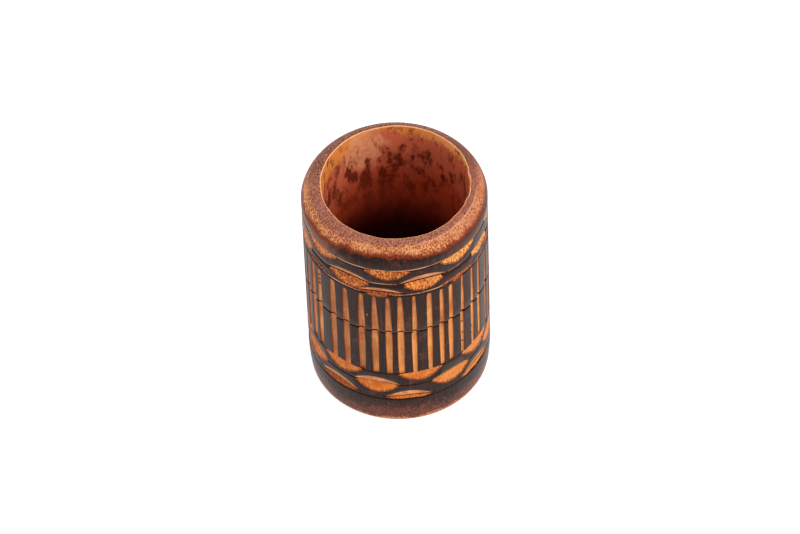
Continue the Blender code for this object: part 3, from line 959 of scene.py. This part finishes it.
def carve_bars(stem):
    angles = spread_round([bar[0] for bar in FRONT_BARS], BAR_COUNT)
    bars = list(FRONT_BARS)
    for angle in angles[len(bars):]:
        bars.append((angle, HAND.uniform(2.4, 3.3), HAND.uniform(0.6, 0.88), 0))
    for side, shift in (("upper", 0.0), ("lower", -0.4)):
        strokes = []
        for angle, width, top, runs_on in bars:
            if side == "upper":
                stations = upper_stations(BAR_TOP + HAND.uniform(-0.5, 0.4), top)
            else:
                low = BAR_BOTTOM - 1.0 if runs_on else BAR_BOTTOM
                stations = lower_stations(low + HAND.uniform(-0.4, 0.5))
            stroke = make_stroke(width * HAND.uniform(1.0, 1.1), stations, BAR_DEPTH)
            place(stroke, (0, 0, angle + shift - 90 + HAND.uniform(-0.25, 0.25)))
            strokes.append(stroke)
        carve(stem, joined(strokes, "bar_row"))


def carve_lines(stem, lines):
    """Scribes level lines: a deep steep cut with a dark lower slope, dark from stain and painted
    shade, under a worn lip.
    """
    wander = cloud("hand_wander", 22, 1)
    out, lip_deep = 1.0, 0.18
    for height, depth, half, below, lip, drop in lines:
        radius = skin_radius(height)
        outline = [
            (radius - depth, -half, 0.0),
            (radius + out, -half - below * (depth + out) / depth, 0.0),
            (radius + out, half + lip * (lip_deep + out) / lip_deep, 0.0),
            (radius - lip_deep, half, 0.0),
            (radius - depth, half, 0.0),
            (radius - depth, -half, 0.0),
        ]
        line = turned_ring("level_line", outline, LINE_STEPS)
        line.data.materials.append(KNIFE_LINE)
        line.data.materials.append(WORN_LIP)
        for polygon in line.data.polygons:
            middle = math.hypot(polygon.center.x, polygon.center.y) / MM
            if polygon.center.z > (half + 0.05) * MM and middle < radius + out - 0.05:
                polygon.material_index = 1
        roughen(line, wander, 0.8, "Z")
        right, back = (math.degrees(math.atan(fall / radius)) for fall in drop)
        place(line, (-back, right, 0), (0, 0, height))
        carve(stem, line)


def clean_up(stem):
    """Removes the specks that the cuts left loose, and closes the slits where they met."""
    select_only(stem)
    bpy.ops.object.mode_set(mode="EDIT")
    bpy.ops.mesh.select_all(action="SELECT")
    bpy.ops.mesh.remove_doubles(threshold=2e-6)
    bpy.ops.mesh.dissolve_degenerate(threshold=2e-6)
    pick("VERT", lambda vertex: vertex.index == 0)
    bpy.ops.mesh.select_linked()
    bpy.ops.mesh.select_all(action="INVERT")
    bpy.ops.mesh.delete(type="VERT")
    bpy.ops.mesh.select_all(action="SELECT")
    bpy.ops.mesh.fill_holes(sides=16)
    bpy.ops.mesh.delete_loose()
    finish_edit()


def make_carved_stem():
    stem = make_turned_stem()
    carve_lines(stem, UPPER_AND_LOWER_LINES)
    carve_leaves(stem)
    carve_bars(stem)
    carve_lines(stem, (MIDDLE_LINE,))
    clean_up(stem)
    shade_smooth(stem, SHARP_EDGE)
    stem.vertex_groups.clear()
    return stem


# ---------------------------------------------------------------- the foot board and the leather

BOARD_RADIUS, BOARD_ROUNDING = 33.2, 0.5
LEATHER_RADIUS, LEATHER_ROUNDING = 29.35, 0.6
LEATHER_EDGE = 40  # sharper corners of the leather stay sharp
LEATHER_WEAR = 0.1  # how much the dice have worn off the leather's thickness
DISC_SIDES, DISC_RINGS = 144, 9


def make_disc(name, radius, low, high, rounding, finish):
    """A disc with rounded edges, its two faces inset in rings so that it shades evenly."""
    clear_selection()
    bpy.ops.mesh.primitive_cylinder_add(
        vertices=DISC_SIDES,
        radius=radius * MM,
        depth=(high - low) * MM,
        location=(BORE_CENTRE * MM, 0, (high + low) / 2 * MM),
    )
    bpy.ops.object.transform_apply(location=True)
    disc = name_new(name)
    bpy.ops.object.mode_set(mode="EDIT")
    pick("EDGE", lambda edge: abs(edge.verts[0].co.z - edge.verts[1].co.z) < 1e-6)
    bpy.ops.mesh.bevel(offset=rounding * MM, segments=4, profile=0.5, affect="EDGES")
    for side in (1, -1):
        pick("FACE", lambda face: face.normal.z * side > 0.999)
        ring = radius - rounding
        for _ in range(DISC_RINGS):
            bpy.ops.mesh.inset(thickness=ring / (DISC_RINGS + 1) * MM)
    finish_edit()
    disc.data.materials.append(finish)
    return disc


def make_base_board():
    low, high = (corner.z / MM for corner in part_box("base_disc"))
    board = make_disc("base_board", BOARD_RADIUS, low, high, BOARD_ROUNDING, BAMBOO_BOARD)
    shade_smooth(board, SHARP_EDGE)
    return board


def make_leather_floor():
    low, high = (corner.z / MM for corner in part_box("leather_floor"))
    high -= LEATHER_WEAR
    leather = make_disc(
        "leather_lining", LEATHER_RADIUS, low, high, LEATHER_ROUNDING, FLOOR_LEATHER
    )
    shade_smooth(leather, LEATHER_EDGE)
    return leather


# ---------------------------------------------------------------- camera, floor and light

def aim(thing, target):
    thing.rotation_mode = "QUATERNION"
    thing.rotation_quaternion = (Vector(target) - thing.location).to_track_quat("-Z", "Y")


CAMERA_DISTANCE, CAMERA_LENS = 1.150, 125.0118  # metres to the middle of the cup, focal length
CAMERA_ELEVATION, CAMERA_ROLL = math.radians(50.2009), math.radians(-2.1944)
CAMERA_SHIFT = (0.00373625, 0.00185625)


def set_camera():
    focus = Vector((0, 0, HEIGHT / 2 * MM))
    lens = bpy.data.cameras.new("camera")
    lens.sensor_width = 36
    lens.lens = CAMERA_LENS
    lens.shift_x, lens.shift_y = CAMERA_SHIFT
    lens.clip_start, lens.clip_end = 0.05, 50
    camera = bpy.data.objects.new("camera", lens)
    bpy.context.scene.collection.objects.link(camera)
    sight = Vector((0, -math.cos(CAMERA_ELEVATION), math.sin(CAMERA_ELEVATION)))
    camera.location = focus + sight * CAMERA_DISTANCE
    aim(camera, focus)
    roll = Matrix.Rotation(CAMERA_ROLL, 3, "Z").to_quaternion()
    camera.rotation_quaternion = camera.rotation_quaternion @ roll
    bpy.context.scene.camera = camera


def set_softbox(name, location, size, watts):
    lamp = bpy.data.lights.new(name, "AREA")
    lamp.shape = "RECTANGLE"
    lamp.size, lamp.size_y = size
    lamp.energy = watts
    box = bpy.data.objects.new(name, lamp)
    bpy.context.scene.collection.objects.link(box)
    box.location = location
    aim(box, (0, 0, 0.06))


def set_studio():
    # Matt white acrylic table, lit from below: shadows on it all but vanish.
    finish, node = new_finish("lit_white_acrylic_table")
    settings = {
        "Base Color": (0.5, 0.5, 0.5, 1.0),
        "Roughness": 0.9,
        "Specular IOR Level": 0.0,
        "Emission Color": (1.0, 1.0, 1.0, 1.0),
        "Emission Strength": 0.7,
    }
    node("OutputMaterial", node("BsdfPrincipled", named=settings))
    clear_selection()
    bpy.ops.mesh.primitive_plane_add(size=20)
    table = name_new("studio_table")
    table.data.materials.append(finish)

    world = bpy.data.worlds.new("studio_air")
    world.use_nodes = True
    air = world.node_tree.nodes["Background"]
    air.inputs["Color"].default_value = (1.0, 1.0, 1.0, 1)
    air.inputs["Strength"].default_value = 1.0
    bpy.context.scene.world = world
    set_softbox("key_softbox", (1.0, -0.55, 0.85), (0.6, 0.6), 9)
    set_softbox("back_softbox", (-0.5, 0.9, 0.8), (0.3, 0.3), 2)
    bpy.context.scene.view_settings.view_transform = "Standard"


def main():
    set_camera()
    set_studio()
    stem = make_carved_stem()
    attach(stem, "root")
    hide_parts("culm_wall")
    board = make_base_board()
    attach(board, "root")
    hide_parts("base_disc")
    leather = make_leather_floor()
    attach(leather, "root")
    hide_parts("leather_floor")
    clear_selection()


main()
